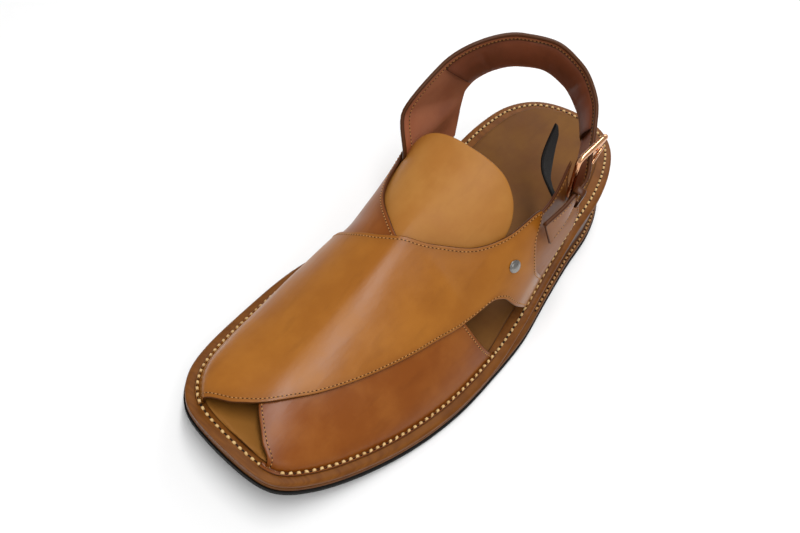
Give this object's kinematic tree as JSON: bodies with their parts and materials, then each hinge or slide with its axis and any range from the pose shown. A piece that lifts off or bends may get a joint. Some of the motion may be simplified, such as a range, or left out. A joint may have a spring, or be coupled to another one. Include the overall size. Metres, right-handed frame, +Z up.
{
  "type": "chappal",
  "caption": "Left leather chappal with crossed tan vamp straps, an open toe, a padded tongue, a buckled heel strap and a stitched leather sole on black rubber",
  "frame": {"origin": "Under the middle of the sole's outline, at floor height.", "axes": "X to the wearer's left, the lateral side. The toe points to -Y. Z up."},
  "size_m": [0.1156, 0.2976, 0.1213],
  "materials": {
    "outsole": "matt moulded",
    "midsole": "burnished edge",
    "heel_wedge": "waxed cover",
    "welt": "burnished edge",
    "insole": "soft padded",
    "upper": "burnished glossy",
    "tongue": "soft glossy",
    "heel_pad": "soft lining",
    "buckle_frame": "polished plate",
    "buckle_prong": "polished plate",
    "strap_keeper": "glossy",
    "buckle_guard": "felt",
    "rivet_lateral": "polished",
    "rivet_medial": "polished"
  },
  "bodies": {
    "root": {"outsole": "outsole", "midsole": "midsole", "heel_wedge": "heel_wedge", "welt": "welt", "insole": "insole", "upper": "upper", "tongue": "tongue", "heel_pad": "heel_pad", "buckle_frame": "buckle_frame", "buckle_prong": "buckle_prong", "strap_keeper": "strap_keeper", "buckle_guard": "buckle_guard", "rivet_lateral": "rivet_lateral", "rivet_medial": "rivet_medial"}
  },
  "joints": []
}
